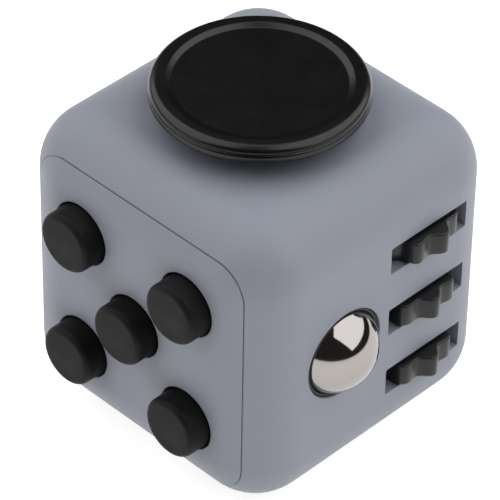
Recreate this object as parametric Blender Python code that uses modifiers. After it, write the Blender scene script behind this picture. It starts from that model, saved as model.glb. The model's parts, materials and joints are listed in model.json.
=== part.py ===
"""Fidget cube: a palm-sized desk toy with something to press, roll, slide, spin or flip on each face.

Units are metres. The origin is the middle of the footprint, +Z is up, and every piece hangs from an
empty at the cube's centre, so each place below is measured from that centre.

    front  (-Y)  five push buttons in a screwed lid
    right  (+X)  three toothed wheels and a rolling ball
    top    (+Z)  sliding disc on a cross slide
    back   (+Y)  spinning dial
    left   (-X)  flip rocker
    bottom (-Z)  smooth thumb dish, the face it stands on
"""

import math

import bmesh
import bpy
from mathutils import Matrix

MM = 0.001

# Casing
SIDE = 33.0 * MM
FACE = SIDE / 2
CORNER_R = 6.3 * MM
CAVITY = 12.6 * MM
CAVITY_R = 2.5 * MM
BACK_WALL = 13.0 * MM
LID_SEAM = 15.48 * MM
GAP = 0.1 * MM
DISH_R = 8.5 * MM
DISH_DEPTH = 1.6 * MM

# Push buttons
BUTTON_PITCH = 7.08 * MM
BUTTON_R = 3.14 * MM
BUTTON_HOLE_R = 3.34 * MM
BUTTON_OUT = 2.34 * MM
BUTTON_EDGE = 0.62 * MM
FLANGE_R = 3.9 * MM
LID_SCREW_AT = 9.8 * MM
CLICK_PLATE_TOP = 12.7 * MM
CLICK_PLATE_BACK = 11.6 * MM

# Toothed wheels
WHEEL_X = 13.27 * MM
WHEEL_Y = 6.26 * MM
WHEEL_PITCH = 7.56 * MM
WHEEL_R = 4.95 * MM
WHEEL_ROOT_R = 4.15 * MM
WHEEL_THICK = 2.45 * MM
WHEEL_TEETH = 9
SLOT_LENGTH = 10.3 * MM
SLOT_HEIGHT = 3.05 * MM
AXLE_R = 1.0 * MM
AXLE_HALF = 11.0 * MM

# Rolling ball
BALL_Y = -4.95 * MM
BALL_X = 14.6 * MM
BALL_R = 4.7 * MM
BALL_HOLE_R = 4.8 * MM
BALL_HOLE_X = 16.1 * MM
SLEEVE_R = 5.3 * MM
SLEEVE_BORE_R = 4.84 * MM

# Sliding disc
DISC_FLANGE_R = 10.52 * MM
DISC_FLANGE_Z = FACE + 3.25 * MM
PAD_R = 10.48 * MM
PAD_RIM_R = 8.3 * MM
PAD_TOP = FACE + 4.0 * MM
STEM_R = 3.6 * MM
TOP_HOLE_R = 7.0 * MM
POCKET_R = 11.7 * MM
POCKET_Z = 14.2 * MM
SLIDER_R = 8.4 * MM
RAIL_AT = 5.5 * MM
POST_X = 10.7 * MM
POST_Y = 9.2 * MM

# Dial
DIAL_R = 9.4 * MM
DIAL_OUT = 2.3 * MM
DIAL_SHAFT_R = 2.5 * MM

# Rocker
PIVOT = 13.8 * MM
ROCKER_HALF = 5.4 * MM
ROCKER_WIDE = 3.3 * MM
ROCKER_TILT = math.radians(12)
PIN_R = 0.8 * MM
BRIDGE_AT = 7.4 * MM

# Screws
SCREW_R = 0.8 * MM
SCREW_HOLE_R = 0.95 * MM
SCREW_HEAD_R = 1.5 * MM

# Which way a turned piece's own +Z points
FACING = {
    "front": (math.pi / 2, 0, 0),
    "back": (-math.pi / 2, 0, 0),
    "right": (0, math.pi / 2, 0),
    "left": (0, -math.pi / 2, 0),
    "top": (0, 0, 0),
    "bottom": (math.pi, 0, 0),
}

# Colour, roughness and metallic value of each finish
FINISHES = {
    "grey_plastic": ((0.30, 0.31, 0.34), 0.45, 0.0),
    "black_plastic": ((0.015, 0.015, 0.017), 0.5, 0.0),
    "wheel_plastic": ((0.035, 0.036, 0.038), 0.45, 0.0),
    "inner_plastic": ((0.03, 0.03, 0.032), 0.5, 0.0),
    "bright_steel": ((0.75, 0.74, 0.72), 0.08, 1.0),
    "plain_steel": ((0.55, 0.55, 0.55), 0.3, 1.0),
    "silicone": ((0.55, 0.50, 0.42), 0.6, 0.0),
}


def collection(name):
    """A new collection in the scene."""
    found = bpy.data.collections.new(name)
    bpy.context.scene.collection.children.link(found)
    return found


for old in list(bpy.data.objects):
    bpy.data.objects.remove(old)
PARTS = collection("fidget_cube")
CUTTERS = collection("cutters")
CENTRE = bpy.data.objects.new("cube_centre", None)
CENTRE.location = (0, 0, FACE)
PARTS.objects.link(CENTRE)


# ---------------------------------------------------------------- building helpers

def material(name, finish):
    """The piece's own material, from the table of finishes."""
    colour, roughness, metallic = FINISHES[finish]
    made = bpy.data.materials.new(name)
    made.use_nodes = True
    made.diffuse_color = (*colour, 1)
    shader = made.node_tree.nodes["Principled BSDF"]
    shader.inputs["Base Color"].default_value = (*colour, 1)
    shader.inputs["Roughness"].default_value = roughness
    shader.inputs["Metallic"].default_value = metallic
    return made


def place(name, data, finish, location, rotation):
    """A new object for a piece, or for a cutter where finish is None."""
    made = bpy.data.objects.new(name, data)
    made.parent = CENTRE
    made.location = location
    made.rotation_euler = rotation
    if finish is None:
        made.hide_render = True
        made.display_type = "WIRE"
        CUTTERS.objects.link(made)
    else:
        data.materials.append(material(name, finish))
        PARTS.objects.link(made)
    return made


def mesh_of(bm, name):
    """A mesh from a bmesh, shaded smooth except across sharp edges."""
    bmesh.ops.recalc_face_normals(bm, faces=bm.faces)
    mesh = bpy.data.meshes.new(name)
    bm.to_mesh(mesh)
    bm.free()
    mesh.shade_smooth()
    mesh.set_sharp_from_angle(angle=math.radians(35))
    return mesh


def block(name, low, high, finish=None, location=(0, 0, 0), rotation=(0, 0, 0), edge=0.0, axis=None):
    """A box between two corners. Its edges, or only those along one axis, can be rounded."""
    bm = bmesh.new()
    size = [b - a for a, b in zip(low, high)]
    middle = [(a + b) / 2 for a, b in zip(low, high)]
    bmesh.ops.create_cube(bm, size=1, matrix=Matrix.Translation(middle) @ Matrix.Diagonal((*size, 1)))
    if edge:
        edges = list(bm.edges)
        if axis is not None:
            edges = [e for e in edges if abs((e.verts[0].co - e.verts[1].co)[axis]) > size[axis] / 2]
        bmesh.ops.bevel(bm, geom=edges, offset=edge, segments=3, profile=0.5, affect="EDGES")
    return place(name, mesh_of(bm, name), finish, location, rotation)


def rod(name, radius, low, high, finish=None, facing="top", location=(0, 0, 0), segments=24):
    """A cylinder along its own Z, between two heights."""
    bm = bmesh.new()
    bmesh.ops.create_cone(
        bm, cap_ends=True, segments=segments, radius1=radius, radius2=radius, depth=high - low,
        matrix=Matrix.Translation((0, 0, (low + high) / 2)),
    )
    return place(name, mesh_of(bm, name), finish, location, FACING[facing])


def arc(centre, radius, start, end, steps):
    """Points (r, z) on an arc of a profile, from one angle to another in degrees."""
    angles = [math.radians(start + (end - start) * i / steps) for i in range(steps + 1)]
    return [(centre[0] + radius * math.cos(a), centre[1] + radius * math.sin(a)) for a in angles]


def turned(name, profile, finish=None, facing="top", location=(0, 0, 0), segments=24):
    """A turned piece: (r, z) points that run down its outer side, screwed round its own Z."""
    on_axis = profile[0][0] == 0 and profile[-1][0] == 0
    count = len(profile)
    edges = [(i, i + 1) for i in range(count - 1)]
    if not on_axis:
        edges.append((count - 1, 0))
    mesh = bpy.data.meshes.new(name)
    mesh.from_pydata([(r, 0, z) for r, z in profile], edges, [])
    made = place(name, mesh, finish, location, FACING[facing])
    screw = made.modifiers.new("turn", "SCREW")
    screw.steps = segments
    screw.render_steps = segments
    screw.use_merge_vertices = True
    screw.merge_threshold = 0.001 * MM
    screw.use_smooth_shade = True
    return made


def combine(target, others, operation="DIFFERENCE"):
    """Cuts helper solids from a piece, or joins them to it."""
    for other in others:
        step = target.modifiers.new(other.name, "BOOLEAN")
        step.operation = operation
        step.solver = "EXACT"
        step.object = other
    return target


def coil(name, radius, wire, low, high, turns, finish, facing="top", location=(0, 0, 0), rotation=None):
    """A coil spring along its own Z: an open helix with a round wire and capped ends."""
    per_turn = 8
    count = turns * per_turn + 1
    curve = bpy.data.curves.new(name, "CURVE")
    curve.dimensions = "3D"
    curve.bevel_depth = wire
    curve.bevel_resolution = 2
    curve.use_fill_caps = True
    spline = curve.splines.new("POLY")
    spline.points.add(count - 1)
    for i, point in enumerate(spline.points):
        angle = 2 * math.pi * i / per_turn
        height = low + wire + (high - low - 2 * wire) * i / (count - 1)
        point.co = (radius * math.cos(angle), radius * math.sin(angle), height, 1)
    return place(name, curve, finish, location, rotation or FACING[facing])


def screw(name, facing, location, under_head, tip, head=0.9 * MM, head_r=SCREW_HEAD_R):
    """A pan-head screw whose thread points along the facing direction."""
    profile = [
        (0, tip),
        (SCREW_R, tip),
        (SCREW_R, under_head),
        (head_r, under_head),
        (head_r, under_head - head * 0.6),
        (head_r * 0.75, under_head - head),
        (0, under_head - head),
    ]
    return turned(name, profile, "plain_steel", facing, location, 10)


# ---------------------------------------------------------------- casing

def rounded_cube(name):
    """The cube's whole outer form."""
    bm = bmesh.new()
    bmesh.ops.create_cube(bm, size=SIDE)
    made = place(name, mesh_of(bm, name), "grey_plastic", (0, 0, 0), (0, 0, 0))
    bevel = made.modifiers.new("fillet", "BEVEL")
    bevel.width = CORNER_R
    bevel.segments = 5
    bevel.limit_method = "NONE"
    return made


def make_housing():
    """The one-piece casing, open at the front, with an opening for each toy."""
    far = FACE + 2 * MM
    wall_in = CAVITY - 0.6 * MM
    housing = rounded_cube("housing")
    cutters = [
        block("cut_front", (-far, -far, -far), (far, -LID_SEAM + GAP / 2, far)),
        block("cut_cavity", (-CAVITY, -far, -CAVITY), (CAVITY, BACK_WALL, CAVITY), edge=CAVITY_R, axis=1),
        rod("cut_glide_pocket", POCKET_R, wall_in, POCKET_Z, segments=32),
        rod("cut_glide_hole", TOP_HOLE_R, wall_in, far, segments=32),
        turned("cut_dish", dish_profile(far), facing="bottom", segments=36),
        rod("cut_ball_hole", BALL_HOLE_R, BALL_HOLE_X, far, facing="right", location=(0, BALL_Y, 0),
            segments=32),
        rod("cut_ball_bore", SLEEVE_R + GAP, wall_in, BALL_HOLE_X, facing="right", location=(0, BALL_Y, 0),
            segments=32),
        rod("cut_dial_recess", DIAL_R + 0.3 * MM, FACE - 0.5 * MM, far, facing="back", segments=36),
        rod("cut_dial_bore", DIAL_SHAFT_R + 0.15 * MM, BACK_WALL - 1 * MM, far, facing="back"),
        block("cut_rocker_window", (-far, -3.6 * MM, -6.4 * MM), (-wall_in, 3.6 * MM, 6.4 * MM),
              edge=0.8 * MM, axis=0),
        block("cut_pin_groove", (-PIVOT - 0.95 * MM, -5.5 * MM, -0.95 * MM),
              (-wall_in, 5.5 * MM, 0.95 * MM)),
        block("cut_axle_groove", (wall_in, WHEEL_Y - 1.1 * MM, -AXLE_HALF - 0.2 * MM),
              (WHEEL_X + 1.1 * MM, WHEEL_Y + 1.1 * MM, AXLE_HALF + 0.2 * MM)),
    ]
    for i in (-1, 0, 1):
        z = i * WHEEL_PITCH
        cutters.append(block(
            f"cut_slot_{i + 2}",
            (wall_in, WHEEL_Y - SLOT_LENGTH / 2, z - SLOT_HEIGHT / 2),
            (far, WHEEL_Y + SLOT_LENGTH / 2, z + SLOT_HEIGHT / 2),
        ))
        for sign in (-1, 1) if i else ():
            cutters.append(rod(f"cut_post_seat_{i + 2}_{sign + 2}", 1.6 * MM, 9 * MM, CAVITY,
                               location=(i * POST_X, sign * POST_Y, 0), segments=16))
    for sign in (-1, 1):
        cutters += [
            block(f"cut_snap_{sign + 2}", (sign * 12.85 * MM - 0.25 * MM, -14.1 * MM, -3.3 * MM),
                  (sign * 12.85 * MM + 0.25 * MM, -12.9 * MM, 3.3 * MM)),
            rod(f"cut_post_hole_{sign + 2}", SCREW_HOLE_R, wall_in, 15.0 * MM,
                location=(sign * POST_X, -sign * POST_Y, 0), segments=12),
            rod(f"cut_keeper_hole_{sign + 2}", SCREW_HOLE_R, wall_in, 15.0 * MM, facing="right",
                location=(0, 10.2 * MM, sign * WHEEL_PITCH / 2), segments=12),
            rod(f"cut_holder_hole_{sign + 2}", SCREW_HOLE_R, wall_in, 15.0 * MM, facing="right",
                location=(0, BALL_Y, sign * 7.2 * MM), segments=12),
            rod(f"cut_bracket_hole_{sign + 2}", SCREW_HOLE_R, wall_in, 15.0 * MM, facing="left",
                location=(0, sign * 8.2 * MM, 0), segments=12),
        ]
    combine(housing, cutters)


def dish_profile(far):
    """Cutter for the shallow thumb dish, a cap of a large sphere."""
    radius = (DISH_R ** 2 + DISH_DEPTH ** 2) / (2 * DISH_DEPTH)
    centre = FACE - DISH_DEPTH + radius
    edge = math.degrees(math.asin((centre - far) / radius))
    return [(0, far)] + arc((0, centre), radius, -edge, -90, 7)[:-1] + [(0, FACE - DISH_DEPTH)]


# ---------------------------------------------------------------- front: push buttons

BUTTONS = {
    "centre": (0, 0),
    "top_left": (-1, 1),
    "top_right": (1, 1),
    "bottom_left": (-1, -1),
    "bottom_right": (1, -1),
}
QUIET = ("top_right", "bottom_left")


def make_click_cover():
    """The front lid: the cube's front slice, a skirt that plugs the casing, bosses and snap hooks."""
    far = FACE + 2 * MM
    back = LID_SEAM + GAP / 2
    skirt_half = CAVITY - 0.3 * MM
    skirt_inner = skirt_half - 1.2 * MM
    skirt_end = 12.9 * MM
    cover = rounded_cube("click_cover")
    combine(cover, [block("cut_behind_lid", (-far, -back, -far), (far, far, far))])
    skirt = block("add_skirt", (-skirt_half, -back - 0.3 * MM, -skirt_half),
                  (skirt_half, -skirt_end, skirt_half), edge=2.2 * MM, axis=1)
    combine(cover, [skirt], "UNION")
    inner = block("cut_skirt", (-skirt_inner, -back, -skirt_inner), (skirt_inner, -10 * MM, skirt_inner),
                  edge=1.2 * MM, axis=1)
    combine(cover, [inner])
    added, cut = [], []
    for i, (x, z) in enumerate(((1, 0), (0, 1), (-1, 0), (0, -1))):
        where = (x * LID_SCREW_AT, 0, z * LID_SCREW_AT)
        added.append(rod(f"add_boss_{i}", 1.7 * MM, CLICK_PLATE_TOP + GAP, back + 0.3 * MM,
                         facing="front", location=where, segments=16))
        cut.append(rod(f"cut_boss_{i}", SCREW_HOLE_R, 12 * MM, back, facing="front", location=where,
                       segments=12))
    for sign in (-1, 1):
        added.append(block(f"add_snap_{sign + 2}", (sign * 12.3 * MM - 0.35 * MM, -13.8 * MM, -3 * MM),
                           (sign * 12.3 * MM + 0.35 * MM, -13.1 * MM, 3 * MM)))
    for name, (x, z) in BUTTONS.items():
        cut.append(rod(f"cut_{name}", BUTTON_HOLE_R, 15 * MM, far, facing="front",
                       location=(x * BUTTON_PITCH, 0, z * BUTTON_PITCH), segments=24))
    combine(cover, added, "UNION")
    combine(cover, cut)


def make_click_plate():
    """The plate behind the buttons, held to the lid's bosses by four screws."""
    half = 10.9 * MM
    plate = block("click_plate", (-half, -CLICK_PLATE_TOP, -half), (half, -CLICK_PLATE_BACK, half),
                  "inner_plastic", edge=1.0 * MM, axis=1)
    holes = []
    for i, (x, z) in enumerate(((1, 0), (0, 1), (-1, 0), (0, -1))):
        where = (x * LID_SCREW_AT, 0, z * LID_SCREW_AT)
        holes.append(rod(f"cut_plate_{i}", SCREW_HOLE_R, 11 * MM, 13 * MM, facing="front",
                         location=where, segments=12))
        screw(f"plate_screw_{i + 1}", "front", where, CLICK_PLATE_BACK - GAP, 14.9 * MM)
    combine(plate, holes)


def make_buttons():
    """Five buttons, each with a flange behind the lid and a dome or cone to push on."""
    front = FACE + BUTTON_OUT
    profile = [(0, front)]
    profile += arc((BUTTON_R - BUTTON_EDGE, front - BUTTON_EDGE), BUTTON_EDGE, 90, 0, 3)
    profile += [
        (BUTTON_R, 15.3 * MM),
        (FLANGE_R, 15.3 * MM),
        (FLANGE_R, 14.6 * MM),
        (1.5 * MM, 14.6 * MM),
        (1.5 * MM, 13.65 * MM),
        (0, 13.65 * MM),
    ]
    rim = CLICK_PLATE_TOP + GAP
    snap = shell_profile(2.4 * MM, 0.65 * MM, 0.15 * MM, rim)
    cone = [
        (0, rim + 0.7 * MM), (0.8 * MM, rim + 0.7 * MM), (1.7 * MM, rim + 0.3 * MM),
        (2.3 * MM, rim + 0.3 * MM), (2.3 * MM, rim), (1.5 * MM, rim), (0.7 * MM, rim + 0.35 * MM),
        (0, rim + 0.35 * MM),
    ]
    for name, (x, z) in BUTTONS.items():
        where = (x * BUTTON_PITCH, 0, z * BUTTON_PITCH)
        turned(f"button_{name}", profile, "black_plastic", "front", where, 24)
        if name in QUIET:
            turned(f"quiet_dome_{name}", cone, "silicone", "front", where, 12)
        else:
            turned(f"snap_dome_{name}", snap, "bright_steel", "front", where, 12)


def shell_profile(radius, height, thick, base):
    """A thin domed disc with its rim at a given height."""
    ball = (radius ** 2 + height ** 2) / (2 * height)
    edge = math.degrees(math.asin((ball - height) / ball))
    outer = [(0, base + height)] + arc((0, base + height - ball), ball, 90, edge, 3)[1:]
    inner = arc((0, base + height - ball), ball - thick, edge + 2, 90, 3)[:-1]
    return outer + inner + [(0, base + height - thick)]


# ---------------------------------------------------------------- right: toothed wheels

def wheel_outline(turn):
    """Points round a wheel whose rim is a wave of round teeth and valleys."""
    steps = WHEEL_TEETH * 8
    middle = (WHEEL_R + WHEEL_ROOT_R) / 2
    wave = (WHEEL_R - WHEEL_ROOT_R) / 2
    for i in range(steps):
        angle = 2 * math.pi * i / steps
        r = middle + wave * math.cos(WHEEL_TEETH * angle)
        yield r * math.cos(angle + turn), r * math.sin(angle + turn)


def flat_piece(name, outlines, thickness, finish, location):
    """A flat piece from closed outlines, the inner ones as holes, extruded both ways from its middle."""
    curve = bpy.data.curves.new(name, "CURVE")
    curve.dimensions = "2D"
    curve.fill_mode = "BOTH"
    curve.extrude = thickness / 2
    for points in outlines:
        spline = curve.splines.new("POLY")
        spline.points.add(len(points) - 1)
        spline.use_cyclic_u = True
        for point, (x, y) in zip(spline.points, points):
            point.co = (x, y, 0, 1)
    return place(name, curve, finish, location, (0, 0, 0))


def circle(radius, count=16):
    """Points round a circle."""
    turns = [2 * math.pi * i / count for i in range(count)]
    return [(radius * math.cos(a), radius * math.sin(a)) for a in turns]


def make_wheels():
    """Three toothed wheels on one upright steel axle."""
    for name, level, turn in (("top", 1, 7.7), ("middle", 0, -3.3), ("bottom", -1, 0)):
        outline = list(wheel_outline(math.radians(turn)))
        flat_piece(f"wheel_{name}", [outline, circle(AXLE_R + 0.15 * MM)], WHEEL_THICK, "wheel_plastic",
                   (WHEEL_X, WHEEL_Y, level * WHEEL_PITCH))
    rod("wheel_axle", AXLE_R, -AXLE_HALF, AXLE_HALF, "plain_steel", location=(WHEEL_X, WHEEL_Y, 0))


def make_wheel_keeper():
    """The clamp that holds the axle in its groove, with posts for the ratchet spring and its screws."""
    inner, outer = 11.4 * MM, CAVITY - GAP
    post_end = 8.02 * MM
    keeper = block("wheel_keeper", (inner, 0.45 * MM, -5.9 * MM), (outer, 12.1 * MM, 5.9 * MM),
                   "inner_plastic", edge=0.8 * MM, axis=0)
    added, cut = [], []
    for sign in (-1, 1):
        z = sign * WHEEL_PITCH / 2
        added.append(rod(f"add_keeper_post_{sign + 2}", 1.6 * MM, post_end, inner + 0.3 * MM,
                         facing="right", location=(0, 10.2 * MM, z), segments=16))
        cut.append(rod(f"cut_keeper_post_{sign + 2}", SCREW_HOLE_R, 7.5 * MM, 13 * MM, facing="right",
                       location=(0, 10.2 * MM, z), segments=12))
        screw(f"keeper_screw_{(3 + sign) // 2}", "right", (0, 10.2 * MM, z), 7.57 * MM, 14.8 * MM)
    window = block("cut_keeper_window", (10 * MM, 1.05 * MM, -1.75 * MM), (14 * MM, 11.5 * MM, 1.75 * MM))
    seat = block("cut_keeper_seat", (WHEEL_X - AXLE_R - GAP, WHEEL_Y - 1.1 * MM, -6.2 * MM),
                 (13 * MM, WHEEL_Y + 1.1 * MM, 6.2 * MM))
    combine(keeper, added, "UNION")
    combine(keeper, cut + [window, seat])


def make_ratchet_spring():
    """A leaf spring with a finger behind each wheel, which makes the wheels click."""
    low, high = 7.67 * MM, 7.92 * MM
    leaf = block("ratchet_spring", (low, 8.9 * MM, -8.4 * MM), (high, 11.6 * MM, 8.4 * MM), "plain_steel",
                 edge=0.5 * MM, axis=0)
    added, cut = [], []
    for i in (-1, 0, 1):
        z = i * WHEEL_PITCH
        added += [
            block(f"add_finger_{i + 2}", (low, 5.4 * MM, z - 0.7 * MM), (high, 9.5 * MM, z + 0.7 * MM)),
            block(f"add_finger_tip_{i + 2}", (low + 0.1 * MM, 5.9 * MM, z - 0.7 * MM),
                  (high + 0.25 * MM, 6.6 * MM, z + 0.7 * MM)),
        ]
    for sign in (-1, 1):
        cut.append(rod(f"cut_leaf_{sign + 2}", SCREW_HOLE_R, 7.0 * MM, 8.6 * MM, facing="right",
                       location=(0, 10.2 * MM, sign * WHEEL_PITCH / 2), segments=12))
    combine(leaf, added, "UNION")
    combine(leaf, cut)


# ---------------------------------------------------------------- right: rolling ball

def make_ball():
    """The ball, the sprung cup that it rolls in, and the holder behind them."""
    bm = bmesh.new()
    bmesh.ops.create_uvsphere(bm, u_segments=24, v_segments=14, radius=BALL_R)
    place("roller_ball", mesh_of(bm, "roller_ball"), "bright_steel", (BALL_X, BALL_Y, 0), (0, 0, 0))
    where = (0, BALL_Y, 0)
    seat = BALL_R + 0.15 * MM
    rim = 12.5 * MM
    cup_r = SLEEVE_BORE_R - 0.2 * MM
    cup_back = 9.0 * MM
    edge = math.degrees(math.asin((BALL_X - rim) / seat))
    cup = [(0, BALL_X - seat)] + arc((0, BALL_X), seat, -90, -edge, 4)[1:]
    cup += [(cup_r, rim), (cup_r, cup_back), (1.2 * MM, cup_back), (1.2 * MM, 6.2 * MM), (0, 6.2 * MM)]
    turned("ball_cup", cup, "inner_plastic", "right", where, 24)
    coil("ball_spring", 2.6 * MM, 0.22 * MM, 6.75 * MM, cup_back - 0.12 * MM, 3, "plain_steel", "right",
         where)
    make_ball_holder(where)


def make_ball_holder(where):
    """A sleeve that keeps the ball in, with a floor behind the cup's spring and two ears for screws."""
    front = CAVITY - GAP
    floor = 6.6 * MM
    shoulder = BALL_HOLE_X - GAP
    tip = shoulder + 0.3 * MM
    lip_r = BALL_HOLE_R - GAP / 2
    outside = [
        (0, tip), (lip_r, tip), (lip_r, shoulder), (SLEEVE_R, shoulder),
        (SLEEVE_R, floor - 1 * MM), (0, floor - 1 * MM),
    ]
    bore = [
        (0, FACE), (4.39 * MM, FACE), (4.56 * MM, shoulder), (SLEEVE_BORE_R, 15.0 * MM),
        (SLEEVE_BORE_R, floor), (1.45 * MM, floor), (1.45 * MM, 5 * MM), (0, 5 * MM),
    ]
    holder = turned("ball_holder", outside, "inner_plastic", "right", where, 24)
    ears = block("add_ears", (11.3 * MM, BALL_Y - 2 * MM, -8.9 * MM),
                 (front - 0.05 * MM, BALL_Y + 2 * MM, 8.9 * MM), edge=1.0 * MM, axis=0)
    cut = [turned("cut_holder_sleeve", bore, facing="right", location=where, segments=24)]
    for sign in (-1, 1):
        at = (0, BALL_Y, sign * 7.2 * MM)
        cut.append(rod(f"cut_ear_{sign + 2}", SCREW_HOLE_R, 11 * MM, 13 * MM, facing="right",
                       location=at, segments=12))
        screw(f"holder_screw_{(3 + sign) // 2}", "right", at, 11.2 * MM, 14.8 * MM)
    combine(holder, [ears], "UNION")
    combine(holder, cut)


# ---------------------------------------------------------------- top: sliding disc

def make_glide_disc():
    """The disc that a thumb slides: a pad with a rolled rim, pinned through a flanged stem."""
    under = FACE + 0.6 * MM
    stem_end = 14.0 * MM
    spigot_r = 2.0 * MM
    bore_r = spigot_r + GAP
    turned("glide_flange", [
        (bore_r, DISC_FLANGE_Z),
        (DISC_FLANGE_R - 0.45 * MM, DISC_FLANGE_Z),
        (DISC_FLANGE_R - 0.1 * MM, FACE + 3.08 * MM),
        (DISC_FLANGE_R, FACE + 2.8 * MM),
        (DISC_FLANGE_R, FACE + 2.55 * MM),
        (DISC_FLANGE_R - 0.2 * MM, FACE + 2.2 * MM),
        (DISC_FLANGE_R - 0.9 * MM, FACE + 1.75 * MM),
        (6.5 * MM, under),
        (STEM_R, under),
        (STEM_R, stem_end),
        (bore_r, stem_end),
    ], "black_plastic", segments=40)
    base = DISC_FLANGE_Z + GAP
    centre_top = PAD_TOP - 0.25 * MM
    round_r = 0.8 * MM
    round_z = PAD_TOP - round_r
    side = math.degrees(math.asin((base - round_z) / round_r))
    pad = [(0, centre_top), (PAD_RIM_R, centre_top), (PAD_RIM_R + 0.6 * MM, PAD_TOP)]
    pad += arc((PAD_R - round_r, round_z), round_r, 90, side, 3)
    pad += [
        (spigot_r, base), (spigot_r, 14.2 * MM), (SCREW_HOLE_R, 14.2 * MM), (SCREW_HOLE_R, 18.0 * MM),
        (0, 18.0 * MM),
    ]
    turned("glide_pad", pad, "black_plastic", segments=40)
    screw("glide_screw", "top", (0, 0, 0), 12.6 * MM, 17.6 * MM, head_r=1.6 * MM)


def make_glide_slides():
    """Slider, cross frame and base: rails along Y let the slider move, rails along X the frame."""
    slider = turned("glide_slider", [
        (SCREW_HOLE_R, 13.9 * MM), (SLIDER_R, 13.9 * MM), (SLIDER_R, 12.7 * MM), (SCREW_HOLE_R, 12.7 * MM),
    ], "inner_plastic", segments=24)
    frame = block("glide_frame", (-8 * MM, -7.4 * MM, 11.3 * MM), (8 * MM, 7.4 * MM, 12.5 * MM),
                  "inner_plastic", edge=0.8 * MM, axis=2)
    base = block("glide_base", (-11.9 * MM, -10.4 * MM, 9.7 * MM), (11.9 * MM, 10.4 * MM, 11.2 * MM),
                 "inner_plastic", edge=1.2 * MM, axis=2)
    rib, groove = 0.6 * MM, 0.8 * MM
    slider_ribs, frame_ribs, frame_cuts, base_cuts = [], [], [], []
    for sign in (-1, 1):
        at = sign * RAIL_AT
        slider_ribs.append(block(f"add_slider_rib_{sign + 2}", (at - rib, -4 * MM, 12.0 * MM),
                                 (at + rib, 4 * MM, 13.0 * MM)))
        frame_cuts.append(block(f"cut_frame_groove_{sign + 2}", (at - groove, -6.5 * MM, 11 * MM),
                                (at + groove, 6.5 * MM, 13 * MM)))
        frame_ribs.append(block(f"add_frame_rib_{sign + 2}", (-4 * MM, at - rib, 10.7 * MM),
                                (4 * MM, at + rib, 11.6 * MM)))
        base_cuts.append(block(f"cut_base_groove_{sign + 2}", (-6.5 * MM, at - groove, 10.6 * MM),
                               (6.5 * MM, at + groove, 12 * MM)))
    frame_cuts.append(block("cut_frame_window", (-2 * MM, -4.1 * MM, 11 * MM), (2 * MM, 4.1 * MM, 13 * MM)))
    combine(slider, slider_ribs, "UNION")
    combine(frame, frame_cuts)
    combine(frame, frame_ribs, "UNION")
    finish_glide_base(base, base_cuts)


def finish_glide_base(base, cuts):
    """Adds the spring cup and the corner posts to the base, and its screws and spring."""
    added = [rod("add_spring_cup", 4.9 * MM, 5.4 * MM, 10.0 * MM)]
    for x in (-1, 1):
        for y in (-1, 1):
            added.append(rod(f"add_post_{x + 2}_{y + 2}", 1.3 * MM, 10.5 * MM, CAVITY - GAP,
                             location=(x * POST_X, y * POST_Y, 0), segments=16))
    cuts.append(rod("cut_spring_cup", 4.2 * MM, 6.2 * MM, 13 * MM))
    for i, sign in enumerate((-1, 1)):
        at = (sign * POST_X, -sign * POST_Y, 0)
        cuts.append(rod(f"cut_post_{i}", SCREW_HOLE_R, 9 * MM, 13 * MM, location=at, segments=12))
        screw(f"base_screw_{i + 1}", "top", at, 9.6 * MM, 14.8 * MM)
    combine(base, added, "UNION")
    combine(base, cuts)
    combine(base, [rod("add_spring_peg", 1.4 * MM, 5.8 * MM, 7.4 * MM)], "UNION")
    coil("glide_spring", 1.9 * MM, 0.22 * MM, 6.3 * MM, 11.5 * MM, 5, "plain_steel")


# ---------------------------------------------------------------- back: spinning dial

def make_dial():
    """A dial with a finger dimple, turning on a shaft through the back wall."""
    top = FACE + DIAL_OUT
    shaft_end = BACK_WALL - 0.15 * MM
    edge = 0.8 * MM
    profile = [(0, top - 0.5 * MM), (DIAL_R - 2.0 * MM, top - 0.5 * MM), (DIAL_R - 1.6 * MM, top)]
    profile += arc((DIAL_R - edge, top - edge), edge, 90, 0, 3)
    profile += [
        (DIAL_R, FACE - 0.3 * MM), (DIAL_SHAFT_R, FACE - 0.3 * MM), (DIAL_SHAFT_R, shaft_end),
        (SCREW_HOLE_R, shaft_end), (SCREW_HOLE_R, 16.5 * MM), (0, 16.5 * MM),
    ]
    dial = turned("spin_dial", profile, "black_plastic", "back", segments=36)
    bm = bmesh.new()
    bmesh.ops.create_uvsphere(bm, u_segments=16, v_segments=10, radius=3.2 * MM)
    dimple = place("cut_dimple", mesh_of(bm, "cut_dimple"), None, (0, top + 1.7 * MM, 4.2 * MM), (0, 0, 0))
    combine(dial, [dimple])
    washer_front = BACK_WALL - 0.25 * MM
    turned("dial_washer", [
        (SCREW_HOLE_R + GAP, washer_front), (4 * MM, washer_front),
        (4 * MM, 12 * MM), (SCREW_HOLE_R + GAP, 12 * MM),
    ], "plain_steel", "back", segments=16)
    screw("dial_screw", "back", (0, 0, 0), 11.9 * MM, 16.2 * MM, head=1.0 * MM, head_r=1.9 * MM)


# ---------------------------------------------------------------- left: flip rocker

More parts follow.
